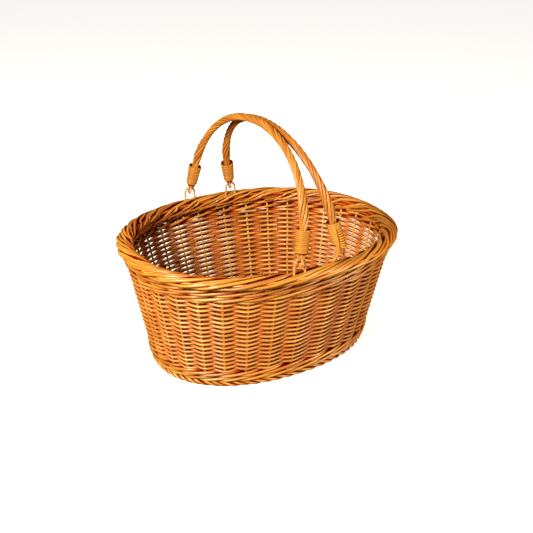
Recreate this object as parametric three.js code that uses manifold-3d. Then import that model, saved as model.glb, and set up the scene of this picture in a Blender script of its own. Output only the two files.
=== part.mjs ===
// Oval harvest basket of round willow rods with two swing handles.
// Millimetres, +X along the basket, -Y the long front side, +Z up, standing on z = 0.
import * as THREE from 'three';
import { mergeVertices } from 'three/addons/utils/BufferGeometryUtils.js';
import Module from 'manifold-3d';

const wasm = await Module();
wasm.setup();

// Driving dimensions
const seatGap = 0.3;            // left between pieces that touch
const holeClearance = 0.35;     // round every rod that passes through another piece
const ovalPower = 2.2;          // 2 is an ellipse, more is squarer
const mouth = { halfLength: 210, halfWidth: 176 };
const footprint = { halfLength: 171.5, halfWidth: 123.5 };
const stakes = { count: 32, radius: 1.7, sides: 6, endGap: 0.8 };
const weaverDiameter = 3.6;     // rods of the siding
const sidingHeight = 123.6;
const sidingMidBay = 2.5;       // half the wall between two stakes
const pointsPerStake = 4;
const footBorder = { width: 12, height: 12, round: 3 };
const lowerWale = { halfThickness: 6.2, height: 16.5 };
const upperWale = { halfThickness: 5.6, height: 18.2 };
const rim = { width: 26, depth: 16, overhang: 9, chamferAcross: 5.5, chamferDown: 4.5 };
const ringSegments = 64;
const rimSegments = 64;
const base = { thickness: 10, height: 8 };
const slath = { halfLength: 34, halfWidth: 14, segments: 28 };     // bare crossing of the base sticks
const longSticks = { count: 3, radius: 2, pitch: 5.2 };
const crossSticks = { count: 5, radius: 3.8, pitch: 11.5 };
const stickEndGap = 1.2;
const stakesPerStickEnd = 2;
const straightPast = 5;         // a stick runs straight this far past the others that it crosses
const stickBend = { steps: 3, pull: 0.45 };
const arch = { radius: 8, rodRadius: 1.6, depthInRim: 11, bendSteps: 10 };
const eye = { rodRadius: 1.3, clearance: 0.4, drop: 9.5, bendSteps: 6, grip: 22 };
const rope = { radius: 5.9, sides: 8, stepsPerHalf: 16, shoulderPull: 0.38, crownPull: 0.66 };
const collar = { turns: 7, stepsPerTurn: 20, thickness: 2.4, width: 4, pitch: 4.6, flare: 1 };
const hingeSpacing = 68.8;
const leftRise = 152;           // from the hinge line to the left rope's crown
const rightRise = 149.3;
const leftArchOut = 1.6;        // from the rim's middle line outward to the left arches
const rightArchOut = -7.9;
const legTilt = 9.5;            // degrees, inward from upright
const archToRope = 0.5;         // under the rope's end
const topGap = 0.6;             // between the two ropes where they lean together
const lieGap = 0.4;             // under a collar when its handle lies on the rim
const handles = [
  { name: 'left', side: -1, rise: leftRise, seatOffset: leftArchOut },
  { name: 'right', side: 1, rise: rightRise, seatOffset: rightArchOut },
];

// Heights that follow from the stack of rings
const lowerWaleZ = footBorder.height + seatGap;
const sidingZ = lowerWaleZ + lowerWale.height + seatGap;
const upperWaleZ = sidingZ + sidingHeight + seatGap;
const rimZ = upperWaleZ + upperWale.height + seatGap;
const rimTop = rimZ + rim.depth;
const sidingAtStake = stakes.radius + weaverDiameter;
const rimCentreOffset = sidingAtStake + rim.overhang - rim.width / 2;
const collarRadius = rope.radius + holeClearance + collar.thickness / 2;
const hingeZ = rimTop + collarRadius + collar.flare + collar.thickness / 2 + lieGap;

// The wall's middle line: an oval that grows straight from the foot to the rim
const wallFoot = {
  a: footprint.halfLength - footBorder.width / 2,
  b: footprint.halfWidth - footBorder.width / 2,
};
const wallTop = {
  a: mouth.halfLength - rim.overhang - sidingAtStake,
  b: mouth.halfWidth - rim.overhang - sidingAtStake,
};
function wallAxes(z) {
  const t = Math.min(z / rimZ, 1);
  return {
    a: THREE.MathUtils.lerp(wallFoot.a, wallTop.a, t),
    b: THREE.MathUtils.lerp(wallFoot.b, wallTop.b, t),
  };
}

function signedPower(value, power) {
  return Math.sign(value) * Math.abs(value) ** power;
}

function ovalPoint(z, angle, offset = 0) {
  const { a, b } = wallAxes(z);
  const x = a * signedPower(Math.cos(angle), 2 / ovalPower);
  const y = b * signedPower(Math.sin(angle), 2 / ovalPower);
  const normal = new THREE.Vector2(
    signedPower(x / a, ovalPower - 1) / a, signedPower(y / b, ovalPower - 1) / b).normalize();
  return new THREE.Vector3(x + normal.x * offset, y + normal.y * offset, z);
}

function ovalHalfWidthAt(x, a, b) {
  return b * (1 - (Math.abs(x) / a) ** ovalPower) ** (1 / ovalPower);
}

// Solids
function toManifold(geometry) {
  const bare = geometry.clone();
  bare.deleteAttribute('normal');
  bare.deleteAttribute('uv');
  const merged = mergeVertices(bare, 1e-4);
  const mesh = {
    numProp: 3,
    vertProperties: new Float32Array(merged.attributes.position.array),
    triVerts: new Uint32Array(merged.index.array),
  };
  const solid = new wasm.Manifold(new wasm.Mesh(mesh));
  if (solid.volume() > 0) return solid;
  mesh.triVerts.reverse();
  return new wasm.Manifold(new wasm.Mesh(mesh));
}

function toGeometry(solid) {
  const mesh = solid.getMesh();
  const geometry = new THREE.BufferGeometry();
  geometry.setAttribute('position', new THREE.BufferAttribute(mesh.vertProperties, 3));
  geometry.setIndex(new THREE.BufferAttribute(mesh.triVerts, 1));
  geometry.computeVertexNormals();
  return geometry;
}

function cut(geometry, tools) {
  return toGeometry(tools.reduce((solid, tool) => solid.subtract(toManifold(tool)), toManifold(geometry)));
}

function polygon(radius, sides) {
  const points = [];
  for (let i = 0; i < sides; i++) {
    const angle = (2 * Math.PI * i) / sides;
    points.push(new THREE.Vector2(radius * Math.cos(angle), radius * Math.sin(angle)));
  }
  return new THREE.Shape(points);
}

// A path that keeps its own stations, close together only where it bends
class StationPath extends THREE.Curve {
  constructor(stations) {
    super();
    this.stations = stations;
  }
  getPoint(t, target = new THREE.Vector3()) {
    const last = this.stations.length - 1;
    const i = Math.min(Math.floor(t * last + 1e-9), last - 1);
    return target.lerpVectors(this.stations[i], this.stations[i + 1], t * last - i);
  }
  getPointAt(t, target) {
    return this.getPoint(t, target);
  }
  getSpacedPoints() {
    return this.stations;
  }
  getTangentAt(t, target = new THREE.Vector3()) {
    const last = this.stations.length - 1;
    const i = Math.round(t * last);
    const before = this.stations[Math.max(i - 1, 0)];
    const after = this.stations[Math.min(i + 1, last)];
    return target.subVectors(after, before).normalize();
  }
}

function tube(path, radius, sides = 6) {
  const steps = path.stations.length - 1;
  return new THREE.ExtrudeGeometry(polygon(radius, sides), { steps, extrudePath: path });
}

function rod(from, to, radius, sides) {
  return tube(new StationPath([from, to]), radius, sides);
}

// A closed section (offset from the wall line, height) carried once round the oval
function ovalRing(section, segments, offsetScale = () => 1) {
  const reach = 100;            // only keeps the turned profile clear of its axis
  const profile = [...section, section[0]].map(([offset, z]) => new THREE.Vector2(reach + offset, z));
  const geometry = new THREE.LatheGeometry(profile, segments);
  bendOntoOval(geometry, (radius) => radius - reach, offsetScale);
  return geometry;
}

function bendOntoOval(geometry, offsetOf, offsetScale = () => 1) {
  const position = geometry.attributes.position;
  for (let i = 0; i < position.count; i++) {
    const z = position.getY(i);
    const radius = Math.hypot(position.getX(i), position.getZ(i));
    if (radius < 1e-6) {
      position.setXYZ(i, 0, 0, z);
      continue;
    }
    const angle = Math.atan2(position.getX(i), position.getZ(i));
    const point = ovalPoint(z, angle, offsetOf(radius) * offsetScale(angle));
    position.setXYZ(i, point.x, point.y, point.z);
  }
}

// Stakes stand half a step either side of the long and short axes
function stakeAngle(index) {
  return ((index + 0.5) * 2 * Math.PI) / stakes.count;
}

function stakeRod(index, radius, fromZ, toZ) {
  const angle = stakeAngle(index);
  const foot = ovalPoint(0, angle);
  const head = ovalPoint(rimZ, angle);
  const at = (z) => new THREE.Vector3().lerpVectors(foot, head, z / rimZ);
  return rod(at(fromZ), at(toZ), radius, stakes.sides);
}

function stakeChannels(fromZ, toZ) {
  const past = 3;               // the cutter runs out past both ends
  const channels = [];
  for (let i = 0; i < stakes.count; i++) {
    channels.push(stakeRod(i, stakes.radius + holeClearance, fromZ - past, toZ + past));
  }
  return channels;
}

function bandSection(halfThickness, fromZ, toZ) {
  return [[-halfThickness, fromZ], [halfThickness, fromZ], [halfThickness, toZ], [-halfThickness, toZ]];
}

function makeWale({ halfThickness, height }, z) {
  const ring = ovalRing(bandSection(halfThickness, z, z + height), ringSegments);
  return cut(ring, stakeChannels(z, z + height));
}

// The siding swells where the weavers pass round a stake
function makeSiding() {
  const top = sidingZ + sidingHeight;
  const swell = (angle) => {
    const wave = 0.5 - 0.5 * Math.cos(stakes.count * angle);
    return THREE.MathUtils.lerp(sidingMidBay, sidingAtStake, wave) / sidingAtStake;
  };
  const segments = stakes.count * pointsPerStake;
  const ring = ovalRing(bandSection(sidingAtStake, sidingZ, top), segments, swell);
  return cut(ring, stakeChannels(sidingZ, top));
}

function makeFootBorder() {
  const half = footBorder.width / 2;
  const { height, round } = footBorder;
  return ovalRing([
    [-half, 0], [half - round, 0], [half, round],
    [half, height - round], [half - round, height], [-half, height],
  ], ringSegments);
}

function makeRim() {
  const out = rimCentreOffset + rim.width / 2;
  const inn = rimCentreOffset - rim.width / 2;
  const { chamferAcross: across, chamferDown: down } = rim;
  const ring = ovalRing([
    [inn + across, rimZ], [out - across, rimZ], [out, rimZ + down], [out, rimTop - down],
    [out - across, rimTop], [inn + across, rimTop], [inn, rimTop - down], [inn, rimZ + down],
  ], rimSegments);
  return cut(ring, archPlaces.map((place) => archTube(place, holeClearance)));
}

// The woven base closes the foot, with its sticks lying in channels through it. They cross in the
// middle, then spread so that each end comes between a pair of stakes.
const baseTop = base.height + base.thickness;
const stickZ = base.height + base.thickness / 2;
const baseOffset = -Math.max(lowerWale.halfThickness, footBorder.width / 2) - seatGap;

function centredPlaces({ count, pitch }) {
  return Array.from({ length: count }, (_, i) => (i - (count - 1) / 2) * pitch);
}

function stickEnd(angle) {
  return ovalPoint(base.height, angle, baseOffset - stickEndGap).setZ(stickZ);
}

function stickArm(start, along, end) {
  const control = start.clone().addScaledVector(along, stickBend.pull * start.distanceTo(end));
  return new THREE.QuadraticBezierCurve3(start, control, end).getPoints(stickBend.steps);
}

function makeStick(name, radius, arm, mirrorAxis) {
  const mirrored = arm.map((p) => {
    const q = p.clone();
    q[mirrorAxis] *= -1;
    return q;
  });
  return { name, radius, stations: [...mirrored.reverse(), ...arm] };
}

function makeSticks() {
  const stickStep = (stakesPerStickEnd * 2 * Math.PI) / stakes.count;
  const halfCrossing = ((crossSticks.count - 1) * crossSticks.pitch) / 2 + crossSticks.radius + straightPast;
  const halfBundle = ((longSticks.count - 1) * longSticks.pitch) / 2 + longSticks.radius + straightPast;
  const long = centredPlaces(longSticks).map((y, i) => {
    const end = stickEnd((i - (longSticks.count - 1) / 2) * stickStep);
    const arm = stickArm(new THREE.Vector3(halfCrossing, y, stickZ), new THREE.Vector3(1, 0, 0), end);
    return makeStick(`base_long_stick_${i + 1}`, longSticks.radius, arm, 'x');
  });
  const cross = centredPlaces(crossSticks).map((x, i) => {
    const end = stickEnd(Math.PI / 2 - (i - (crossSticks.count - 1) / 2) * stickStep);
    const arm = stickArm(new THREE.Vector3(x, halfBundle, stickZ), new THREE.Vector3(0, 1, 0), end);
    return makeStick(`base_cross_stick_${i + 1}`, crossSticks.radius, arm, 'y');
  });
  return { long, cross };
}

// The cutter for a stick's channel runs straight on past both its ends
function stickChannel({ stations, radius }) {
  const past = 20;
  const runOn = (end, before) => end.clone().sub(before).setLength(past).add(end);
  const last = stations.length - 1;
  const longer = [
    runOn(stations[0], stations[1]), ...stations, runOn(stations[last], stations[last - 1])];
  return tube(new StationPath(longer), radius + holeClearance);
}

// The weaving starts round the crossed sticks and leaves their crossing bare
function slathOpening() {
  const points = [];
  for (let i = 0; i < slath.segments; i++) {
    const angle = (2 * Math.PI * i) / slath.segments;
    points.push(new THREE.Vector2(
      slath.halfLength * signedPower(Math.cos(angle), 2 / ovalPower),
      slath.halfWidth * signedPower(Math.sin(angle), 2 / ovalPower)));
  }
  const depth = 2 * base.thickness;
  const opening = new THREE.ExtrudeGeometry(new THREE.Shape(points), { depth, bevelEnabled: false });
  return opening.translate(0, 0, stickZ - depth / 2);
}

function makeBase({ long, cross }) {
  const disc = new THREE.LatheGeometry([
    new THREE.Vector2(0, base.height), new THREE.Vector2(1, base.height),
    new THREE.Vector2(1, baseTop), new THREE.Vector2(0, baseTop),
  ], ringSegments);
  bendOntoOval(disc, () => baseOffset);
  return cut(disc, [slathOpening(), ...[...long, ...cross].map(stickChannel)]);
}

function makeLongStick({ stations, radius }) {
  return tube(new StationPath(stations), radius);
}

// Each cross stick is split so that the long sticks pass through its middle
function makeCrossStick({ stations, radius }, long) {
  const slotHeight = 2 * (longSticks.radius + holeClearance);
  const slotWidth = (long.length - 1) * longSticks.pitch + slotHeight;
  const slot = new THREE.BoxGeometry(4 * radius, slotWidth, slotHeight);
  slot.translate(stations[stations.length / 2].x, 0, stickZ);
  return cut(tube(new StationPath(stations), radius), [slot]);
}

// Handle feet: one arch each, standing in the rim across the end of a handle
function archHalfSpan({ seatOffset }) {
  const { a, b } = wallAxes(rimZ);
  return ovalHalfWidthAt(hingeSpacing / 2, a + rimCentreOffset, b + rimCentreOffset) + seatOffset;
}

const archPlaces = handles.flatMap((handle) => [
  { name: `${handle.name}_front_arch`, x: (handle.side * hingeSpacing) / 2, y: -archHalfSpan(handle) },
  { name: `${handle.name}_back_arch`, x: (handle.side * hingeSpacing) / 2, y: archHalfSpan(handle) },
]);

function archTube({ x, y }, extra = 0) {
  const foot = rimTop - arch.depthInRim - extra - hingeZ;
  const stations = [new THREE.Vector3(arch.radius, 0, foot)];
  for (let i = 0; i <= arch.bendSteps; i++) {
    const angle = (Math.PI * i) / arch.bendSteps;
    stations.push(new THREE.Vector3(arch.radius * Math.cos(angle), 0, arch.radius * Math.sin(angle)));
  }
  stations.push(new THREE.Vector3(-arch.radius, 0, foot));
  return tube(new StationPath(stations), arch.rodRadius + extra).translate(x, y, hingeZ);
}

// A handle is drawn in its own plane: y across, z up from the hinge axis
const ropeStart = arch.rodRadius + archToRope;
const collarStart = ropeStart + collar.width / 2;
const legLength = collarStart + (collar.turns + 1) * collar.pitch;

function legDirection(end) {
  const tilt = THREE.MathUtils.degToRad(legTilt);
  return new THREE.Vector3(0, -end * Math.sin(tilt), Math.cos(tilt));
}

function legPoint(handle, end, along) {
  const foot = new THREE.Vector3(0, end * archHalfSpan(handle), arch.radius);
  return foot.addScaledVector(legDirection(end), along);
}

function ropeStations(handle) {
  const shoulder = legPoint(handle, 1, legLength);
  const rise = legDirection(1).multiplyScalar(rope.shoulderPull * (handle.rise - shoulder.z));
  const crown = new THREE.Vector3(0, 0, handle.rise);
  const pull = new THREE.Vector3(0, rope.crownPull * shoulder.y, 0);
  const bend = new THREE.CubicBezierCurve3(
    shoulder, shoulder.clone().add(rise), crown.clone().add(pull), crown);
  const half = [legPoint(handle, 1, ropeStart), ...bend.getSpacedPoints(rope.stepsPerHalf)];
  const mirrored = half.slice(0, -1).reverse().map((p) => new THREE.Vector3(0, -p.y, p.z));
  return [...half, ...mirrored];
}

// The eye is a hairpin that hangs round the arch, its legs bound inside the rope's end
function eyeTube(handle, end, extra = 0) {
  const across = new THREE.Vector3().crossVectors(legDirection(end), new THREE.Vector3(1, 0, 0));
  const spread = arch.rodRadius + eye.clearance + eye.rodRadius;
  const at = (along, side) => legPoint(handle, end, along).addScaledVector(across, side);
  const stations = [at(ropeStart + eye.grip + extra, spread)];
  for (let i = 0; i <= eye.bendSteps; i++) {
    const angle = (Math.PI * i) / eye.bendSteps;
    stations.push(at(spread - eye.drop - spread * Math.sin(angle), spread * Math.cos(angle)));
  }
  stations.push(at(ropeStart + eye.grip + extra, -spread));
  return tube(new StationPath(stations), eye.rodRadius + extra);
}

function makeRope(handle) {
  const body = tube(new StationPath(ropeStations(handle)), rope.radius, rope.sides);
  return cut(body, [1, -1].map((end) => eyeTube(handle, end, holeClearance)));
}

// The collar is one flat cane wound round the rope's end, wider towards its top, its ends running on straight
class Winding extends THREE.Curve {
  constructor(handle, end) {
    super();
    this.axis = legDirection(end);
    this.start = legPoint(handle, end, collarStart + collar.pitch / 2);
    this.across = new THREE.Vector3(0, this.axis.z, -this.axis.y);
    this.steps = collar.turns * collar.stepsPerTurn + 2;
  }
  frameAt(step) {
    const wound = THREE.MathUtils.clamp(step - 1, 0, this.steps - 2);
    const turn = (2 * Math.PI * wound) / collar.stepsPerTurn;
    const radial = this.across.clone().multiplyScalar(Math.cos(turn));
    radial.x += Math.sin(turn);
    const round = this.across.clone().multiplyScalar(-Math.sin(turn));
    round.x += Math.cos(turn);
    return { radial, round, wound };
  }
  getPoint(t, target = new THREE.Vector3()) {
    const step = Math.round(t * this.steps);
    const { radial, round, wound } = this.frameAt(step);
    const tail = (step - 1 - wound) * collar.thickness;
    const turns = wound / collar.stepsPerTurn;
    const radius = collarRadius + collar.flare * (turns / collar.turns);
    return target.copy(this.start).addScaledVector(radial, radius).addScaledVector(round, tail)
      .addScaledVector(this.axis, turns * collar.pitch);
  }
  getSpacedPoints() {
    return this.getPoints(this.steps);
  }
  computeFrenetFrames() {
    const frames = Array.from({ length: this.steps + 1 }, (_, step) => this.frameAt(step));
    return {
      tangents: frames.map((frame) => frame.round),
      normals: frames.map((frame) => frame.radial),
      binormals: frames.map(() => this.axis.clone()),
    };
  }
}

function makeCollar(handle, end) {
  const path = new Winding(handle, end);
  const half = collar.thickness / 2;
  const tall = collar.width / 2;
  const section = new THREE.Shape([
    [half, 0], [half / 2, tall], [-half / 2, tall], [-half, 0], [-half / 2, -tall], [half / 2, -tall],
  ].map(([radial, axial]) => new THREE.Vector2(radial, axial)));
  const geometry = new THREE.ExtrudeGeometry(section, { steps: path.steps, extrudePath: path });
  reportSelfGap(`${handle.name} collar`, path, section.getPoints());
  return geometry;
}

// Least distance between points of the winding's surface that lie half a turn or more apart
function reportSelfGap(name, path, section) {
  const frames = path.computeFrenetFrames();
  const rings = path.getSpacedPoints().map((centre, i) => section.map((corner) => centre.clone()
    .addScaledVector(frames.normals[i], corner.x).addScaledVector(frames.binormals[i], corner.y)));
  let least = Infinity;
  for (let i = 0; i < rings.length; i++) {
    for (let j = i + collar.stepsPerTurn / 2; j < rings.length; j++) {
      for (const p of rings[i]) {
        for (const q of rings[j]) least = Math.min(least, p.distanceTo(q));
      }
    }
  }
  console.log(`${name}: least gap to itself ${least.toFixed(2)} mm`);
}

// Finishes
const finish = {
  weaver: { color: 0xd98a3c, roughness: 0.55 },
  stake: { color: 0xe0a04e, roughness: 0.6 },
  wale: { color: 0xcf7c32, roughness: 0.55 },
  border: { color: 0xdf9440, roughness: 0.5 },
  base: { color: 0xb8702e, roughness: 0.65 },
  rope: { color: 0xd68f38, roughness: 0.45 },
  collar: { color: 0xe09a42, roughness: 0.45 },
  cane: { color: 0xe6bf82, roughness: 0.55 },
};

function piece(name, geometry, look) {
  const mesh = new THREE.Mesh(geometry, new THREE.MeshStandardMaterial({ ...look, metalness: 0 }));
  mesh.name = name;
  return mesh;
}

function makeBody() {
  const body = new THREE.Group();
  const sticks = makeSticks();
  body.add(piece('base_weave', makeBase(sticks), finish.base));
  sticks.long.forEach((s) => body.add(piece(s.name, makeLongStick(s), finish.stake)));
  sticks.cross.forEach((s) => body.add(piece(s.name, makeCrossStick(s, sticks.long), finish.stake)));
  body.add(piece('foot_border', makeFootBorder(), finish.border));
  body.add(piece('lower_wale', makeWale(lowerWale, lowerWaleZ), finish.wale));
  body.add(piece('side_weave', makeSiding(), finish.weaver));
  body.add(piece('upper_wale', makeWale(upperWale, upperWaleZ), finish.wale));
  body.add(piece('rim_border', makeRim(), finish.border));
  for (let i = 0; i < stakes.count; i++) {
    const name = `stake_${String(i + 1).padStart(2, '0')}`;
    const solid = stakeRod(i, stakes.radius, lowerWaleZ + stakes.endGap, rimZ - seatGap - stakes.endGap);
    body.add(piece(name, solid, finish.stake));
  }
  archPlaces.forEach((place) => body.add(piece(place.name, archTube(place), finish.cane)));
  return body;
}

// Each handle leans in until the two ropes almost touch at the top
function makeHandle(handle) {
  const group = new THREE.Group();
  group.add(piece(`${handle.name}_handle_rope`, makeRope(handle), finish.rope));
  for (const [place, end] of [['front', -1], ['back', 1]]) {
    group.add(piece(`${handle.name}_${place}_collar`, makeCollar(handle, end), finish.collar));
    group.add(piece(`${handle.name}_${place}_eye`, eyeTube(handle, end), finish.cane));
  }
  const lean = Math.asin((hingeSpacing / 2 - rope.radius - topGap / 2) / handle.rise);
  group.rotation.y = -handle.side * lean;
  group.position.set((handle.side * hingeSpacing) / 2, 0, hingeZ);
  return group;
}

const basket = new THREE.Group();
basket.add(makeBody());
handles.forEach((handle) => basket.add(makeHandle(handle)));

export default basket;
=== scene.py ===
# %% [markdown]
# # An oval harvest basket of willow rods
#
# The basket is woven: thin rods run round upright stakes, stouter rods are plaited into the
# bands at the foot and the rim, and two handles of twisted rod hang on small cane arches.
# The CAD frame holds every piece at its true place. This lesson dresses it, one kind of
# weaving at a time, so each chapter answers the same question: where does one rod go?

# %% The frame
import math

import bpy
import numpy as np
from mathutils import Matrix, Vector


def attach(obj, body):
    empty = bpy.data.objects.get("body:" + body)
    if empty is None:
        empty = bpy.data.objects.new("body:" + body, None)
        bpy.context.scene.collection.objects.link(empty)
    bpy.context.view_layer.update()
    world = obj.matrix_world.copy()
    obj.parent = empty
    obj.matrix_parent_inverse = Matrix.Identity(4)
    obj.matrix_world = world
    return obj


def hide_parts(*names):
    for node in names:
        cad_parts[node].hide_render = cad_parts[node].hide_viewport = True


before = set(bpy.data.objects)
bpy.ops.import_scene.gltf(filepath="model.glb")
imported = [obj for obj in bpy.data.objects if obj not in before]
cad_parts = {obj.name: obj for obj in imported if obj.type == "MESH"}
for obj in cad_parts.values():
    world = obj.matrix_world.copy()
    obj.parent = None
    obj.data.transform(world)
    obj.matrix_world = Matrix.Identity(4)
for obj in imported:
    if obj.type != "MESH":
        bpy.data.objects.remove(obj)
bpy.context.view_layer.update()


def new_object(name, data):
    """An object of its own in the scene."""
    made = bpy.data.objects.new(name, data)
    bpy.context.collection.objects.link(made)
    return made


def set_inputs(node, values):
    """Sets a shader node's inputs by name."""
    for name, value in values.items():
        node.inputs[name].default_value = value


# %% [markdown]
# ## The oval wall
#
# Everything woven follows one line: the middle of the wall. Seen from above it is an oval a
# little squarer than an ellipse, and it grows straight from the foot to the rim. So a point
# on the wall needs only a height, a place round the oval and a distance out from the line.
# Outwards means square to the leaning wall: a rod in front of a stake then lies a little
# lower than the same row's rod behind the next stake, which decides where one can see
# through the weave. Places round the oval are counted in stakes, because a weaver counts
# them too. The weaving is worked out in millimetres, and the meshes are in metres, as the
# camera, the floor and the lamps are.

# %% Points on the wall
METRE = 1000.0
TURN = 2 * math.pi
STAKES = 32
OVAL_POWER = 2.2
RIM_BOTTOM = 171.5
FOOT_AXES = np.array([165.5, 117.5])
TOP_AXES = np.array([195.7, 161.7])


def oval_point(axes, turn, offset=0.0):
    """Points (x, y) on an oval with these half axes, pushed outwards by offset."""
    c, s = np.cos(turn), np.sin(turn)
    x = axes[0] * np.sign(c) * np.abs(c) ** (2 / OVAL_POWER)
    y = axes[1] * np.sign(s) * np.abs(s) ** (2 / OVAL_POWER)
    nx = np.sign(x) * np.abs(x / axes[0]) ** (OVAL_POWER - 1) / axes[0]
    ny = np.sign(y) * np.abs(y / axes[1]) ** (OVAL_POWER - 1) / axes[1]
    size = np.hypot(nx, ny)
    return x + offset * nx / size, y + offset * ny / size


def wall_path(stake, z, offset, level=False):
    """Points on the wall at these stake counts, heights and distances out from its line."""
    z = np.broadcast_to(z, stake.shape)
    turn = (stake + 0.5) * TURN / STAKES
    grown = np.clip(z / RIM_BOTTOM, 0, 1)
    axes = FOOT_AXES[:, None] + (TOP_AXES - FOOT_AXES)[:, None] * grown
    on_line = np.column_stack(oval_point(axes, turn))
    outward = np.column_stack(oval_point(axes, turn, 1.0)) - on_line
    growth = on_line / axes.T * (TOP_AXES - FOOT_AXES) / RIM_BOTTOM
    slope = (growth * outward).sum(axis=1) * (z < RIM_BOTTOM) * (not level)
    lean = np.arctan(slope)
    flat = on_line + outward * (offset * np.cos(lean))[:, None]
    return np.column_stack([flat, z - offset * np.sin(lean)])


def length_along(path):
    """How far along a path each of its points lies."""
    steps = np.linalg.norm(np.diff(path, axis=0), axis=1)
    return np.concatenate([[0], np.cumsum(steps)])


around = wall_path(np.linspace(0, STAKES, 400), RIM_BOTTOM, 0.0)
print("once round the rim: %.0f mm" % length_along(around)[-1])

# %% [markdown]
# ## The camera
#
# The photograph was taken from the front left and a little above. The camera stands at that
# angle and distance, and looks at the middle of the basket.

# %% Camera
AZIMUTH, ELEVATION = math.radians(-30.6), math.radians(24.65)
DISTANCE, LENS = 1.150, 51.58
LOOK_UP, LOOK_RIGHT = 0.1228, 0.0109
back = Vector((math.sin(AZIMUTH) * math.cos(ELEVATION),
               -math.cos(AZIMUTH) * math.cos(ELEVATION), math.sin(ELEVATION)))
right = Vector((math.cos(AZIMUTH), math.sin(AZIMUTH), 0))
target = Vector((0, 0, LOOK_UP)) + right * LOOK_RIGHT
camera = new_object("camera", bpy.data.cameras.new("camera"))
camera.location = target + back * DISTANCE
camera.rotation_euler = back.to_track_quat("Z", "Y").to_euler()
camera.data.lens = LENS
bpy.context.scene.camera = camera
print("camera stands at", [round(v, 3) for v in camera.location])

# %% [markdown]
# ## Floor
#
# The photograph's background is plain white, so the floor shines by itself. It neither lights
# the willow nor shows in its varnish. Inside the oval of the foot it turns dark, because
# hardly any light gets under a basket, and that shows between the lowest rods.

# %% Floor
FLOOR_RADIUS = 9
# Inside the foot's oval the floor gets a painted shadow, this dark.
SHADE_EDGE, SHADE_COLOUR = 0.85, (0.03, 0.01, 0.004, 1)
bpy.ops.mesh.primitive_circle_add(vertices=96, radius=FLOOR_RADIUS, fill_type="NGON")
floor = bpy.context.object
floor.name = "floor"
floor_finish = bpy.data.materials.new("pale floor")
floor_finish.use_nodes = True
nodes, links = floor_finish.node_tree.nodes, floor_finish.node_tree.links
floor_shader = nodes["Principled BSDF"]
set_inputs(floor_shader,
           {"Roughness": 0.9, "Specular IOR Level": 0.1, "Emission Strength": 0.85})
under = nodes.new("ShaderNodeTexCoord")
oval = nodes.new("ShaderNodeVectorMath")
oval.operation = "MULTIPLY"
oval.inputs[1].default_value = (METRE / FOOT_AXES[0], METRE / FOOT_AXES[1], 0)
reach = nodes.new("ShaderNodeVectorMath")
reach.operation = "LENGTH"
shade = nodes.new("ShaderNodeValToRGB")
shade.color_ramp.elements[0].position = SHADE_EDGE
shade.color_ramp.elements[0].color = SHADE_COLOUR
links.new(under.outputs["Object"], oval.inputs[0])
links.new(oval.outputs[0], reach.inputs[0])
links.new(reach.outputs["Value"], shade.inputs["Fac"])
for use in ("Emission Color", "Base Color"):
    links.new(shade.outputs["Color"], floor_shader.inputs[use])
floor.visible_diffuse = False
floor.visible_glossy = False
floor.data.materials.append(floor_finish)
print("floor: %d m across" % (2 * FLOOR_RADIUS))

# %% [markdown]
# ## Light
#
# One soft lamp shines from the front left, which gilds that side and leaves the right side
# browner. A low lamp at the front right picks out the rods there, and two faint ones, above
# and behind, keep the inside from going black. The backdrop is white for the camera only: the
# light from all round is weak and warm, as if the willow threw it back. No film curve changes
# the colours, so the white stays plain white.

# %% Lamps
LIT_POINT = Vector((0, 0, 0.1))


def soft_lamp(name, place, size, power, colour):
    """A square lamp that faces the basket's middle."""
    data = bpy.data.lights.new(name, "AREA")
    data.size = size
    data.energy = power
    data.color = colour
    lamp = new_object(name, data)
    lamp.location = place
    lamp.rotation_euler = (Vector(place) - LIT_POINT).to_track_quat("Z", "Y").to_euler()
    return lamp


soft_lamp("key lamp", (-1.54, -0.71, 1.20), 0.55, 68, (1.0, 0.98, 0.72))
soft_lamp("top lamp", (0.3, 0.1, 1.9), 0.9, 3, (1.0, 0.95, 0.75))
back_lamp = soft_lamp("back lamp", (1.0, 1.6, 0.3), 0.8, 5, (1.0, 0.88, 0.74))
back_lamp.visible_glossy = False
soft_lamp("side lamp", (1.0, -1.35, 0.12), 0.35, 24, (1.0, 0.86, 0.52))

# %% Backdrop
room = bpy.data.worlds.new("white room")
bpy.context.scene.world = room
room.use_nodes = True
nodes, links = room.node_tree.nodes, room.node_tree.links
wall_light = nodes["Background"]
set_inputs(wall_light, {"Color": (1, 0.60, 0.40, 1), "Strength": 0.08})
backdrop = nodes.new("ShaderNodeBackground")
set_inputs(backdrop, {"Color": (1, 1, 1, 1)})
seen = nodes.new("ShaderNodeLightPath")
either = nodes.new("ShaderNodeMixShader")
links.new(seen.outputs["Is Camera Ray"], either.inputs[0])
links.new(wall_light.outputs[0], either.inputs[1])
links.new(backdrop.outputs[0], either.inputs[2])
links.new(either.outputs[0], nodes["World Output"].inputs["Surface"])
bpy.context.scene.view_settings.view_transform = "Standard"
print("four lamps and a white backdrop")
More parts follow.
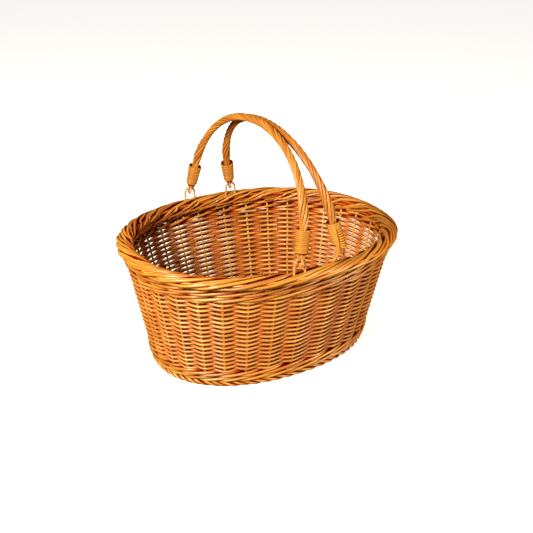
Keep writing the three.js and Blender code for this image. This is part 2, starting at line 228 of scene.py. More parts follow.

# %% [markdown]
# ## Willow skin
#
# Peeled willow is smooth and a little glossy. Close up it has fine streaks along the rod,
# broader patches where the stain took more or less, and now and then a small scar where a
# bud sat. All the finishes share that skin, so it is one node group, with the colours as its
# inputs. It reads how far along its own rod a point lies, and where across, which keeps the
# streaks running with the rod round every bend, and how hidden it lies among the others,
# which sets the painted shade that darkens it.

# %% The skin's sockets and sums
# The third input says how hidden a point lies, which sets its painted shade.
SKIN_INPUTS = (("Rod place", "Vector"), ("Rod tone", "Float"), ("Rod shade", "Float"),
               ("Pale", "Color"), ("Deep", "Color"), ("Tone spread", "Float"),
               ("Roughness", "Float"), ("Gloss", "Float"))
SKIN_OUTPUTS = (("Colour", "Color"), ("Gloss", "Float"), ("Roughness", "Float"),
                ("Relief", "Float"))
skin = bpy.data.node_groups.new("willow skin", "ShaderNodeTree")
for way, sockets in (("INPUT", SKIN_INPUTS), ("OUTPUT", SKIN_OUTPUTS)):
    for name, kind in sockets:
        skin.interface.new_socket(name=name, in_out=way, socket_type="NodeSocket" + kind)
skin_in = skin.nodes.new("NodeGroupInput")
skin_out = skin.nodes.new("NodeGroupOutput")


def skin_place(scale):
    """The place on the rod, times how often a pattern changes in a metre, per axis."""
    stretch = skin.nodes.new("ShaderNodeVectorMath")
    stretch.operation = "MULTIPLY"
    stretch.inputs[1].default_value = scale
    skin.links.new(skin_in.outputs["Rod place"], stretch.inputs[0])
    return stretch.outputs[0]


def skin_noise(scale, detail):
    """Noise stretched along the rod."""
    place = skin_place(scale)
    noise = skin.nodes.new("ShaderNodeTexNoise")
    set_inputs(noise, {"Scale": 1.0, "Detail": detail})
    skin.links.new(place, noise.inputs["Vector"])
    return noise.outputs["Fac"]


def feed(value, use):
    """Gives a socket a number, or links another node's output to it."""
    if isinstance(value, (int, float)):
        use.default_value = value
    else:
        skin.links.new(value, use)


def skin_math(operation, a, b):
    """One sum on two values."""
    node = skin.nodes.new("ShaderNodeMath")
    node.operation = operation
    feed(a, node.inputs[0])
    feed(b, node.inputs[1])
    return node.outputs[0]


def skin_mix(kind, share, a, b):
    """One colour laid over another."""
    node = skin.nodes.new("ShaderNodeMix")
    node.data_type = "RGBA"
    node.blend_type = kind
    feed(share, node.inputs["Factor"])
    feed(a, node.inputs[6])
    feed(b, node.inputs[7])
    return node.outputs[2]


def from_half(value, amount):
    """How far a value lies from a half, times amount."""
    return skin_math("MULTIPLY", skin_math("SUBTRACT", value, 0.5), amount)


print("willow skin reads", len(SKIN_INPUTS), "values")

# %% [markdown]
# Streaks, patches, bud scars and the rod's own tone add up to what blends the two colours.

# %% Tone
STREAKS_PER_METRE = (55, 2300, 2300)
PATCHES_PER_METRE = (30, 260, 260)
BUDS_PER_METRE = (22, 160, 160)
BUD_SIZE = 0.085
streaks = skin_noise(STREAKS_PER_METRE, 3.0)
patches = skin_noise(PATCHES_PER_METRE, 2.0)
bud_place = skin_place(BUDS_PER_METRE)
bud = skin.nodes.new("ShaderNodeTexVoronoi")
set_inputs(bud, {"Scale": 1.0})
skin.links.new(bud_place, bud.inputs["Vector"])
bud_scar = skin_math("LESS_THAN", bud.outputs["Distance"], BUD_SIZE)
tone = from_half(skin_in.outputs["Rod tone"], skin_in.outputs["Tone spread"])
tone = skin_math("ADD", tone, from_half(patches, 1.1))
tone = skin_math("ADD", tone, from_half(streaks, 0.9))
tone = skin_math("ADD", tone, 0.5)
tone = skin_math("SUBTRACT", tone, skin_math("MULTIPLY", bud_scar, 0.45))
colour = skin_mix("MIX", tone, skin_in.outputs["Deep"], skin_in.outputs["Pale"])
print("tone blends two colours")

# %% [markdown]
# Where rods lie close together, the hidden side of a rod is painted darker and redder as
# shade: a ramp gives a colour for each depth, and it multiplies the rod's. The varnish
# didn't reach so deep, so the gloss fades there too.

# %% Painted shade, gloss and relief
# Painted shade: colours that multiply a rod's own, from open to most hidden.
PAINTED_SHADE = ((0.0, (1, 1, 1)), (0.12, (0.97, 0.83, 0.72)), (0.36, (0.73, 0.23, 0.10)),
         (0.75, (0.36, 0.04, 0.018)), (1.0, (0.15, 0.022, 0.006)))
GLOSS_FADE = 1.6
shade_tint = skin.nodes.new("ShaderNodeValToRGB")
ramp = shade_tint.color_ramp.elements
for depth, tint in PAINTED_SHADE[1:-1]:
    ramp.new(depth)
for step, (depth, tint) in zip(ramp, PAINTED_SHADE):
    step.color = (*tint, 1)
skin.links.new(skin_in.outputs["Rod shade"], shade_tint.inputs["Fac"])
fade = skin_math("MULTIPLY", skin_in.outputs["Rod shade"], GLOSS_FADE)
left_over = skin_math("MAXIMUM", skin_math("SUBTRACT", 1.0, fade), 0.0)
for name, value in (
        ("Colour", skin_mix("MULTIPLY", 1.0, colour, shade_tint.outputs["Color"])),
        ("Roughness", skin_math("ADD", skin_in.outputs["Roughness"], from_half(patches, 0.25))),
        ("Gloss", skin_math("MULTIPLY", skin_in.outputs["Gloss"], left_over)),
        ("Relief", skin_math("ADD", streaks, skin_math("MULTIPLY", bud_scar, 0.8)))):
    feed(value, skin_out.inputs[name])
print("willow skin has", len(skin.nodes), "nodes")

# %% [markdown]
# ## Finishes
#
# Each finish is the skin with its own two colours. The stained rods are golden orange, the
# wales a little browner, and the cane of the arches and eyes is paler and duller. All the
# shine comes from a coat of varnish, of which the stakes have little. How smooth it is sits
# on the shader, because that is the same all over; the skin says how much there is.

# %% Finishes
BUMP_STRENGTH, BUMP_HEIGHT = 0.35, 0.0002
COAT_ROUGHNESS, COAT_IOR = 0.38, 1.8


def willow_finish(name, pale, deep, spread=0.6, roughness=0.5, gloss=1.0):
    """A material: the skin in two colours, with this much varnish."""
    material = bpy.data.materials.new(name)
    material.use_nodes = True
    nodes, links = material.node_tree.nodes, material.node_tree.links
    shader = nodes["Principled BSDF"]
    group = nodes.new("ShaderNodeGroup")
    group.node_tree = skin
    # Each point's place on its rod, its tone and its painted shade come from the rod maker.
    for attribute, output, use in (("rod_place", "Vector", "Rod place"),
                                   ("rod_tone", "Fac", "Rod tone"),
                                   ("rod_shade", "Fac", "Rod shade")):
        told = nodes.new("ShaderNodeAttribute")
        told.attribute_name = attribute
        links.new(told.outputs[output], group.inputs[use])
    set_inputs(group, {"Pale": (*pale, 1), "Deep": (*deep, 1), "Tone spread": spread,
                       "Roughness": roughness, "Gloss": gloss})
    bump = nodes.new("ShaderNodeBump")
    set_inputs(bump, {"Strength": BUMP_STRENGTH, "Distance": BUMP_HEIGHT})
    links.new(group.outputs["Relief"], bump.inputs["Height"])
    links.new(bump.outputs["Normal"], shader.inputs["Normal"])
    for output, use in (("Colour", "Base Color"), ("Roughness", "Roughness"),
                        ("Gloss", "Coat Weight")):
        links.new(group.outputs[output], shader.inputs[use])
    set_inputs(shader, {"Specular IOR Level": 0.0, "Coat Roughness": COAT_ROUGHNESS,
                        "Coat IOR": COAT_IOR})
    return material


FINISH = {
    "siding": willow_finish("siding willow", (0.86, 0.505, 0.150), (0.49, 0.180, 0.028),
                            spread=0.5),
    "stake": willow_finish("stake willow", (1.0, 0.43, 0.10), (0.88, 0.27, 0.045), gloss=0.25),
    "wale": willow_finish("wale willow", (0.82, 0.39, 0.070), (0.44, 0.125, 0.013)),
    "border": willow_finish("border willow", (0.84, 0.41, 0.060), (0.47, 0.140, 0.013)),
    "base_weave": willow_finish("base willow", (0.60, 0.27, 0.07), (0.33, 0.11, 0.02),
                                roughness=0.6, gloss=0.1),
    "rope": willow_finish("rope willow", (0.68, 0.30, 0.052), (0.42, 0.12, 0.013), gloss=0.6),
    "collar": willow_finish("collar cane", (0.66, 0.29, 0.045), (0.40, 0.12, 0.012), gloss=0.4),
    "cane": willow_finish("pale cane", (0.88, 0.71, 0.34), (0.62, 0.39, 0.12),
                          roughness=0.55, gloss=0.1),
}
print("finishes:", ", ".join(FINISH))

# %% [markdown]
# ## One way to make a rod
#
# A woven rod is long, round and bent in three directions at once. It could be a cylinder
# bent by hand, but nobody can place a thousand bends that way. A curve with a bevel is the
# tool for it: the path says where the rod goes, the radius says how thick it is there, and
# Blender puts six to ten faces round it. The curve is then made a mesh. Its points come rod
# by rod and ring by ring, so each can be told its place on the rod, the rod's tone and how
# hidden it lies, which is how far it faces the middle of the band that the rod lies in. How
# hidden a point lies sets the painted shade that darkens it. The open ends are filled like
# a cut rod's.

# %% The rod maker
TONES = np.random.default_rng(5)
# Metres of the skin's pattern from one rod's start to the next's.
SKIN_STEP = 1.37
# How much painted shade a point gets because its rod lies in a band, and because it faces the
# middle.
BAND_SHADE, FACING_SHADE = 0.3, 0.9


def rod(path, radius, tone=None, inward=0.0, extra_shade=0.25):
    """A rod to be made; inward points from it to the middle of the band it lies in. The last
    value is painted shade laid all over it.
    """
    path = np.asarray(path, float)
    tone = TONES.uniform(0, 1) if tone is None else tone
    return {"path": path, "radius": np.broadcast_to(radius, len(path)), "tone": tone,
            "inward": np.broadcast_to(inward, path.shape), "extra_shade": extra_shade}


def band_rod(path, radius, middle, extra_shade=0.25):
    """A rod that is wound round the middle of a band."""
    inward = middle - path
    inward /= np.linalg.norm(inward, axis=1)[:, None]
    return rod(path, radius, inward=inward, extra_shade=extra_shade)


def bent_rods(name, rods, sides=8, closed=False, twist="Z_UP"):
    """One mesh of many rods, each a tube along its own path."""
    bpy.ops.curve.primitive_nurbs_path_add()
    line = bpy.context.object
    line.name = name
    curve = line.data
    curve.splines.clear()
    curve.dimensions = "3D"
    curve.bevel_depth = 1.0
    curve.bevel_resolution = sides // 2 - 2
    curve.twist_mode = twist
    for one in rods:
        spline = curve.splines.new("POLY")
        spline.points.add(len(one["path"]) - 1)
        corners = np.column_stack([one["path"] / METRE, np.ones(len(one["path"]))])
        spline.points.foreach_set("co", corners.ravel())
        spline.points.foreach_set("radius", one["radius"] / METRE)
        spline.use_cyclic_u = closed
    bpy.ops.object.convert(target="MESH")
    piece = bpy.context.object
    piece.data.name = name
    tell_rod_place(piece.data, rods, sides)
    if not closed:
        bpy.ops.object.mode_set(mode="EDIT")
        bpy.ops.mesh.select_all(action="SELECT")
        bpy.ops.mesh.fill_holes(sides=sides)
        bpy.ops.object.mode_set(mode="OBJECT")
    bpy.ops.object.shade_smooth_by_angle(angle=math.radians(65))
    return piece


def note_points(mesh, name, values):
    """Writes a number or a vector at each point of a mesh."""
    kind, field = ("FLOAT_VECTOR", "vector") if np.ndim(values) == 2 else ("FLOAT", "value")
    mesh.attributes.new(name, kind, "POINT").data.foreach_set(field, np.ravel(values))


def tell_rod_place(mesh, rods, sides):
    """Writes each point's place on its rod, its rod's tone and how hidden it lies, which sets its
    painted shade.
    """
    places, tones, shade_amounts = [], [], []
    turn = np.arange(sides) * TURN / sides
    points = np.empty(len(mesh.vertices) * 3)
    mesh.vertices.foreach_get("co", points)
    points = points.reshape(-1, sides, 3) * METRE
    first = 0
    for number, one in enumerate(rods):
        along = length_along(one["path"]) / METRE + number * SKIN_STEP
        thick = one["radius"] / METRE
        ring = np.empty((len(along), sides, 3))
        ring[:, :, 0] = along[:, None]
        ring[:, :, 1] = thick[:, None] * np.cos(turn)
        ring[:, :, 2] = thick[:, None] * np.sin(turn)
        places.append(ring.reshape(-1, 3))
        tones.append(np.full(len(along) * sides, one["tone"]))
        spokes = points[first:first + len(along)] - one["path"][:, None, :]
        spokes /= one["radius"][:, None, None]
        facing = (spokes * one["inward"][:, None, :]).sum(axis=2)
        extra_shade = one["extra_shade"] + BAND_SHADE * np.linalg.norm(one["inward"], axis=1)[:, None]
        shade_amounts.append(np.clip(extra_shade + FACING_SHADE * facing, 0, 1).ravel())
        first += len(along)
    places = np.concatenate(places)
    assert len(places) == len(mesh.vertices)
    note_points(mesh, "rod_place", places)
    note_points(mesh, "rod_tone", np.concatenate(tones))
    note_points(mesh, "rod_shade", np.concatenate(shade_amounts))


def wander(rng, count, amount, waves=3):
    """A slow random drift along a rod, so that none lies dead true."""
    along = np.linspace(0, TURN, count)
    drift = sum(np.sin(along * wave + rng.uniform(0, TURN))
                for wave in range(1, waves + 1))
    return amount * drift / waves


def dress(piece, finish, body, *nodes):
    """Gives a piece its finish, hides the CAD parts it stands for and attaches it to what it
    moves with.
    """
    piece.data.materials.clear()
    piece.data.materials.append(FINISH[finish])
    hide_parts(*nodes)
    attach(piece, body)
    faces = sum(len(face.vertices) - 2 for face in piece.data.polygons)
    print("%s: %d triangles" % (piece.name, faces))


# %% [markdown]
# ## Stakes
#
# The stakes are the uprights that everything else is woven on. Each is a straight round rod,
# cut square at the foot, a little uneven and thinner towards its top. One is modelled from
# a cylinder: it is cut across into lengths, and the rings between them are narrowed and
# pushed a little out of line.

# %% One stake
STAKE_RADIUS = 1.85
STAKE_BEND = 0.25
bpy.ops.mesh.primitive_cylinder_add(vertices=10, radius=STAKE_RADIUS / METRE, depth=1,
                                    location=(0, 0, 0.5), end_fill_type="NGON")
stake = bpy.context.object
stake.name = "stake"
bpy.ops.object.transform_apply(location=True)
bpy.ops.object.mode_set(mode="EDIT")
for cut_height in np.linspace(0.1, 0.9, 9):
    bpy.ops.mesh.select_all(action="SELECT")
    bpy.ops.mesh.bisect(plane_co=(0, 0, cut_height), plane_no=(0, 0, 1))
bpy.ops.object.mode_set(mode="OBJECT")
unevenness = np.random.default_rng(3).uniform(-1, 1, (11, 3))
for point in stake.data.vertices:
    ring = unevenness[round(point.co.z * 10)]
    middle = math.sin(math.pi * point.co.z)
    narrow = 1.04 - 0.1 * point.co.z + 0.03 * ring[2]
    point.co.x = point.co.x * narrow + ring[0] * middle * STAKE_BEND / METRE
    point.co.y = point.co.y * narrow + ring[1] * middle * STAKE_BEND / METRE
print("one stake:", len(stake.data.vertices), "points")

# %% [markdown]
# The others are copies, each laid from its own point at the foot to its own point under the
# rim, a touch outside the wall's line, and turned so that no two show the same side.

# %% All the stakes
STAKE_FOOT, STAKE_HEAD, STAKE_OUT = 13.1, 173.0, 0.4
STAKE_LENGTH = 160.0
STAKE_TURN, STAKE_SKIN_STEP = 2.4, 0.9


def laid_stake(number, name):
    """A copy of the stake, from its place at the foot to its place under the rim."""
    foot = Vector(wall_path(np.array([number]), STAKE_FOOT, STAKE_OUT)[0]) / METRE
    head = Vector(wall_path(np.array([number]), STAKE_HEAD, STAKE_OUT)[0]) / METRE
    lean = (head - foot).to_track_quat("Z", "X")
    spin = Matrix.Rotation(number * STAKE_TURN, 4, "Z")
    mesh = stake.data.copy()
    mesh.name = name
    note_points(mesh, "rod_place", np.array(
        [(v.co.z * (STAKE_LENGTH / METRE) + number * STAKE_SKIN_STEP, v.co.x, v.co.y)
         for v in mesh.vertices]))
    note_points(mesh, "rod_tone", np.full(len(mesh.vertices), TONES.uniform(0, 1)))
    length = Matrix.Scale((head - foot).length, 4, (0, 0, 1))
    mesh.transform(Matrix.Translation(foot) @ lean.to_matrix().to_4x4() @ length @ spin)
    piece = new_object(name, mesh)
    bpy.ops.object.select_all(action="DESELECT")
    piece.select_set(True)
    bpy.context.view_layer.objects.active = piece
    bpy.ops.object.shade_smooth_by_angle(angle=math.radians(60))
    return piece


for number in range(STAKES):
    node = "stake_%02d" % (number + 1)
    dress(laid_stake(number, "willow_" + node), "stake", "basket", node)
bpy.data.objects.remove(stake)

# %% [markdown]
# ## Siding
#
# The wall is filled with thin rods, in front of one stake and behind the next. Every other
# row does the opposite, so the rows lock each other. Between two stakes a rod crosses nearly
# straight from one face of the wall to the other, and it bends where it lies on a stake: a
# triangle wave with rounded corners. At the back right the rods are stouter and lie tight,
# and at the back left they bend more sharply and leave longer openings. A real rod is thick
# at its butt and thin at its tip, and too short for the whole round: each row here is two
# rods, which end inside the basket, behind a stake.

# %% Siding rows
SIDING_BOTTOM, SIDING_ROWS, ROW_PITCH = 29.1, 34, 3.635
WEAVER_RADIUS, WEAVER_REACH, WEAVER_TAIL, WEAVER_SPARE = 1.87, 3.4, 2.4, 0.45
# How far a row falls from the inside to the outside, per millimetre.
FALL, TIGHT_FALL, AIRY_RISE = 0.03, 0.14, 0.10
TIGHT_PLACE, TIGHT_SPREAD, TIGHT_SWELL = 4.5, 3.2, 0.17
AIRY_PLACE, AIRY_SPREAD, AIRY_BEND = 10.5, 3.4, 1.6
POINTS_PER_BAY = 8
WAVE_CORNER, WAVE_PEAK = 0.9, 1.05


def wall_rod(stake_count, height, offset, radius):
    """A rod that weaves about the wall's middle line."""
    path = wall_path(stake_count, height, offset)
    inward = wall_path(stake_count, height, 0.0) - path
    return rod(path, radius, inward=inward / np.linalg.norm(inward, axis=1).max())


def weave_wave(stake_count, peak=WAVE_PEAK):
    """Nearly straight from one stake to the next, and bent at the stakes."""
    swing = np.arcsin(WAVE_CORNER * np.cos(math.pi * stake_count)) / math.asin(WAVE_CORNER)
    return np.sign(swing) * np.abs(swing) ** peak


def near(stake_count, place, spread):
    """One at a place round the basket, falling to nothing away from it."""
    away = (stake_count - place + STAKES / 2) % STAKES - STAKES / 2
    return np.exp(-(away / spread) ** 2)


def siding_rod(rng, row, start, end):
    """A rod of one row, from behind stake start to behind stake end, where it runs on inside."""
    count = round((end - start + 2 * WEAVER_SPARE) * POINTS_PER_BAY) + 1
    stake_count = np.linspace(start - WEAVER_SPARE, end + WEAVER_SPARE, count)
    side = 1 if row % 2 == 0 else -1
    tight = near(stake_count, TIGHT_PLACE, TIGHT_SPREAD)
    airy = near(stake_count, AIRY_PLACE, AIRY_SPREAD)
    offset = side * WEAVER_REACH * weave_wave(stake_count, WAVE_PEAK + AIRY_BEND * airy)
    offset = offset + wander(rng, count, 0.18, 9)
    tail = np.clip((stake_count - end) / WEAVER_SPARE, 0, 1)
    offset = offset * (1 - tail) - (WEAVER_REACH + WEAVER_TAIL) * tail
    head = np.clip((start - stake_count) / WEAVER_SPARE, 0, 1)
    offset = offset * (1 - head) - WEAVER_REACH * head
    height = SIDING_BOTTOM + (row + 0.5) * ROW_PITCH + wander(rng, count, 0.16, 7)
    height = height - (FALL + TIGHT_FALL * tight - AIRY_RISE * airy) * offset - 0.5 * tail
    taper = np.linspace(1.04, 0.95, count) * rng.uniform(0.97, 1.03) * (1 + TIGHT_SWELL * tight)
    return wall_rod(stake_count, height, offset, WEAVER_RADIUS * taper)


siding_rng = np.random.default_rng(21)
siding = []
for row in range(SIDING_ROWS):
    behind = 1 if row % 2 == 0 else 0
    start = 2 * int(siding_rng.integers(0, 16)) + behind
    half = 2 * int(siding_rng.integers(6, 10))
    siding.append(siding_rod(siding_rng, row, start, start + half))
    siding.append(siding_rod(siding_rng, row, start + half, start + STAKES))
dress(bent_rods("siding_rods", siding), "siding", "basket", "side_weave")

# %% [markdown]
# ## Waling
#
# The bands above the foot and under the rim are waling: three stouter rods worked together,
# each in front of two stakes and behind one. From outside that makes long strokes that climb
# to the right. 32 stakes aren't a multiple of three, so a rod that goes round three times
# meets its own start. One round of waling is therefore a single closed way, which is cut
# into rods where it passes behind a stake. One plain rod runs round inside the lower band,
# behind its strokes; it is painted dark with shade, and keeps light from showing through.

# %% Wales
WALE_BEAT, WALE_LENGTH, WALE_SPARE, WALE_TAIL = 3, 24, 0.4, 2.6
# How far a wale presses into a stake.
PRESSED = 0.4
# Three rods side by side lie two radii apart when their shared wave is this high.
WALE_LIFT = 1.155
HOOP_POINTS = STAKES * 3 + 1


def hoop(height, offset, radius, tone, extra_shade, start=0.0, level=False):
    """A plain rod once round the basket, under or behind the woven ones, darkened by the painted
    shade it is given.
    """
    way = np.linspace(0, STAKES, HOOP_POINTS) + start
    return rod(wall_path(way, height, offset, level), radius, tone=tone, extra_shade=extra_shade)


def wale_rod(rng, z, radius, start, end):
    """A rod in front of two stakes and behind one, with a tail inside."""
    count = round((end - start + 2 * WALE_SPARE) * 6) + 1
    stake_count = np.linspace(start - WALE_SPARE, end + WALE_SPARE, count)
    reach = STAKE_RADIUS + radius - PRESSED
    beat = TURN * (stake_count % WALE_BEAT) / WALE_BEAT
    from_middle = beat - math.pi
    offset = (reach / 3 + (reach + 0.2) * np.cos(from_middle)
              + (0.2 - reach / 3) * np.cos(2 * from_middle))
    tail = np.clip((stake_count - end) / WALE_SPARE, 0, 1)
    offset = offset - WALE_TAIL * tail + wander(rng, count, 0.2, 9)
    height = z - WALE_LIFT * radius * np.sin(beat) + wander(rng, count, 0.2, 7)
    taper = np.linspace(1.06, 0.92, count) * rng.uniform(0.96, 1.03)
    return wall_rod(stake_count, height, offset, radius * taper)


def waling(name, node, heights, hidden, radius, seed):
    """A band: a round of waling at each height, and the plain rods behind them."""
    rng = np.random.default_rng(seed)
    rods = []
    for z in heights:
        joints = np.arange(0, WALE_BEAT * STAKES + 1, WALE_LENGTH)
        joints = joints + WALE_BEAT * int(rng.integers(0, 8))
        for start, end in zip(joints[:-1], joints[1:]):
            rods.append(wale_rod(rng, z, radius, start, end))
    # Plain rods behind the strokes, painted dark as shade.
    for z in hidden:
        rods.append(hoop(z, -5.6, 1.9, tone=0.2, extra_shade=0.8))
    dress(bent_rods(name, rods), "wale", "basket", node)


waling("lower_waling", "lower_wale", (16.6, 24.8), (20.7,), 2.35, 31)
waling("upper_waling", "upper_wale", (157.1, 165.6), (), 2.4, 37)

# %% [markdown]
# ## Rim
#
# At the rim the stakes' ends are turned down and plaited. One long stout rod starts at every
# stake: its butt comes out of the upper wale, it climbs slantwise up the outside and over the
# top while it runs on past almost four stakes, and its tip is tucked in low on the inner
# side. A shorter, thinner rod starts halfway up the outside and runs over beside it, which
# leaves dark slits along the ridge. The rim's section is a flat oval, so the way of a rod is
# found from its length round that oval. Plain rods run inside as the core that the plait is
# laid on, and three more fill its inner face.

# %% Rim plait
RIM_CENTRE, RIM_REACH = (1.3, 179.6), (10.6, 5.6)
RIM_END = 205
# A tail's points: how far on in stakes, how far out from the wall's line, and how high.
RIM_TAIL = np.array([[0.25, -8.4, 173.8], [0.5, -8.5, 171.6], [0.75, -8.2, 169.6],
                     [0.95, -7.6, 168.2]])
LONG_ROD = {"first": -52, "run": 3.9, "thick": 2.4, "rise": 1.0,
            "butt": ((-1.0, 0.5, 173.6), (-0.6, 3.0, 173.2), (-0.3, 5.8, 173.6))}
SHORT_ROD = {"first": 15, "run": 2.4, "thick": 2.1, "rise": 0.98,
             "butt": ((-0.8, 4.5, 178.0), (-0.4, 8.0, 179.5))}
SHORT_START = 1.9
CORES = ((-5.2, -0.4), (0.2, 0.6), (5.4, -0.4), (-2.4, -2.2), (3.0, -2.2), (-4.4, -4.4),
         (2.0, -5.4))
INNER_CORES = ((-6.9, 0.4), (-6.3, -6.6), (-3.0, -8.2))


def round_section(share, first, last, reach):
    """Angles at equal lengths round an oval section, from one angle to another."""
    fine = np.radians(np.linspace(first, last, 200))
    step = np.hypot(np.diff(reach[0] * np.cos(fine)), np.diff(reach[1] * np.sin(fine)))
    length = np.concatenate([[0], np.cumsum(step)])
    return np.interp(share * length[-1], length, fine)


def rim_rod(rng, start, first, run, butt, thick, rise):
    """Up outside, over the top and down inside, with its butt coming out of the band."""
    run = run + rng.uniform(-0.3, 0.3)
    share = np.linspace(0, 1, 36)
    angle = round_section(share, first, RIM_END, RIM_REACH)
    count = len(share)
    lift = rise + wander(rng, count, 0.04, 4) + rng.uniform(-0.05, 0.04)
    offset = RIM_CENTRE[0] + RIM_REACH[0] * np.cos(angle) * lift
    height = RIM_CENTRE[1] + RIM_REACH[1] * np.sin(angle) * lift
    stake_count = start + run * (share + 0.11 * np.sin(math.pi * share))
    stake_count = stake_count + wander(rng, count, 0.12, 3)
    butt = np.array(butt)
    stake_count = np.concatenate([stake_count[0] + butt[:, 0], stake_count,
                                  stake_count[-1] + RIM_TAIL[:, 0]])
    offset = np.concatenate([butt[:, 1], offset, RIM_TAIL[:, 1]])
    height = np.concatenate([butt[:, 2], height, RIM_TAIL[:, 2]])
    taper = np.linspace(1.07, 0.88, len(offset)) * rng.uniform(0.93, 1.05)
    middle = wall_path(stake_count, RIM_CENTRE[1], RIM_CENTRE[0])
    return band_rod(wall_path(stake_count, height, offset), thick * taper, middle)


rim_rng = np.random.default_rng(43)
plait = []
for number in range(STAKES):
    for start, kind in ((number, LONG_ROD), (number + SHORT_START, SHORT_ROD)):
        plait.append(rim_rod(rim_rng, start + rim_rng.uniform(-0.1, 0.1), **kind))
# The cores under the plait are painted darker as shade.
for across, up in CORES:
    start = rim_rng.uniform(0, 8)
    plait.append(hoop(RIM_CENTRE[1] + up, RIM_CENTRE[0] + across, 2.3, 0.1, 0.5, start))
for across, up in INNER_CORES:
    start = rim_rng.uniform(0, 8)
    lift = wander(rim_rng, HOOP_POINTS, 0.6, 9)
    plait.append(hoop(RIM_CENTRE[1] + up + lift, RIM_CENTRE[0] + across, 2.2, 0.4, 0.3, start))
dress(bent_rods("rim_plait", plait), "border", "basket", "rim_border")

# %% [markdown]
# ## Foot
#
# The foot is wrapped like a rope round the bottom edge, so that the base keeps clear of the
# floor. Two rods start at each stake, evenly spaced. They go outwards over the top, down the
# outside and back under while they run on past two stakes, round a plain rod as the core.

# %% Foot wrap
FOOT_CENTRE, FOOT_REACH, FOOT_RUN = (0.0, 6.05), 3.7, 1.95
FOOT_START, FOOT_TURN = 125, 350
FOOT_ROD, FOOT_CORE = 2.1, 2.5


def foot_rod(rng, start):
    """Once round the foot's section, flattened where it stands on the floor."""
    count = 27
    share = np.linspace(0, 1, count)
    angle = np.radians(FOOT_START - FOOT_TURN * share)
    reach = FOOT_REACH * (1 + wander(rng, count, 0.05, 3))
    offset = FOOT_CENTRE[0] + reach * np.cos(angle)
    height = FOOT_CENTRE[1] + np.maximum(reach * np.sin(angle), -FOOT_REACH)
    taper = np.linspace(1.0, 0.92, count) * rng.uniform(0.95, 1.02)
    way = start + FOOT_RUN * share
    middle = wall_path(way, FOOT_CENTRE[1], FOOT_CENTRE[0], level=True)
    return band_rod(wall_path(way, height, offset, level=True), FOOT_ROD * taper, middle)


foot_rng = np.random.default_rng(47)
wrap = []
for number in range(STAKES):
    for start in (number, number + 0.5):
        wrap.append(foot_rod(foot_rng, start + foot_rng.uniform(-0.04, 0.04)))
# The core under the wrap is painted darkest, as shade.
wrap.append(hoop(FOOT_CENTRE[1], FOOT_CENTRE[0], FOOT_CORE, tone=0.0, extra_shade=1.0, level=True))
dress(bent_rods("foot_wrap", wrap), "border", "basket", "foot_border")

# %% [markdown]
# ## Base
#
# An oval base starts from a few crossed sticks, which are then spread like rays, so that each
# ends between a pair of stakes. The three thin long sticks go straight through the middle.
# Each is one arm with a single bend, and the same arm mirrored.

# %% Long sticks
BASE_MIDDLE = 13.0
LONG_PITCH, CROSS_PITCH = 5.2, 11.5
SLATH = (31.8, 12.2)
# The height at which the sticks meet the wall, and how far inside its line they end.
STICK_LEVEL, STICK_END = 8, -7.7
ARM_POINTS, ARM_PULL = 12, 0.45


def stick_arm(start, along, turn):
    """From the crossed middle out to its place between two stakes, in one bend."""
    axes = FOOT_AXES + (TOP_AXES - FOOT_AXES) * STICK_LEVEL / RIM_BOTTOM
    end = np.array(oval_point(axes, turn, STICK_END))
    start, along = np.array(start), np.array(along)
    control = start + along * ARM_PULL * np.linalg.norm(end - start)
    share = np.linspace(0, 1, ARM_POINTS)[:, None]
    return (1 - share) ** 2 * start + 2 * share * (1 - share) * control + share ** 2 * end


def whole_stick(arm, mirror):
    """An arm and its mirror image, at the base's height."""
    flat = np.concatenate([(arm * mirror)[::-1], arm])
    return np.column_stack([flat, np.full(len(flat), BASE_MIDDLE)])


rays = []
for number in (-1, 0, 1):
    arm = stick_arm((SLATH[0], number * LONG_PITCH), (1, 0), number * math.pi / 8)
    rays += [arm, arm * (-1, 1)]
    name = "long_stick_%d" % (number + 2)
    piece = bent_rods(name, [rod(whole_stick(arm, (-1, 1)), 2.0)])
    dress(piece, "stake", "basket", "base_" + name)

# %% [markdown]
# The five stout cross sticks are split in the middle, and the long ones are pushed through. A
# box cuts each slit. Beyond it the stick is thinned, as a weaver pares it to bend it.

# %% Split cross sticks
SLIT = (16.0, 15.1, 4.7)
for number in (-2, -1, 0, 1, 2):
    arm = stick_arm((number * CROSS_PITCH, SLATH[1]), (0, 1), math.pi / 2 - number * math.pi / 8)
    rays += [arm, arm * (1, -1)]
    path = whole_stick(arm, (1, -1))
    thick = np.interp(np.abs(path[:, 1]), [0, 12.5, 20], [3.8, 3.6, 2.15])
    name = "cross_stick_%d" % (number + 3)
    piece = bent_rods(name, [rod(path, thick)], twist="MINIMUM")
    bpy.ops.mesh.primitive_cube_add(
        size=1, location=(number * CROSS_PITCH / METRE, 0, BASE_MIDDLE / METRE),
        scale=[side / METRE for side in SLIT])
    slit = bpy.context.object
    split = piece.modifiers.new("split", "BOOLEAN")
    split.object = slit
    split.operation = "DIFFERENCE"
    bpy.context.view_layer.objects.active = piece
    bpy.ops.object.modifier_apply(modifier="split")
    bpy.data.objects.remove(slit)
    dress(piece, "stake", "basket", "base_" + name)

# %% [markdown]
# Fine rods are woven round the rays from the middle outwards. Where every ray crosses a rod's
# ring is measured first, and the wave of the weave is stretched to fit.

# %% Base weave
BASE_RINGS, BASE_ROD, BASE_SWING = 33, 1.65, 3.6
BASE_OUTER, BASE_INNER = np.array([158.7, 111.3]), np.array([35.5, 15.6])
POINTS_PER_RAY = 7


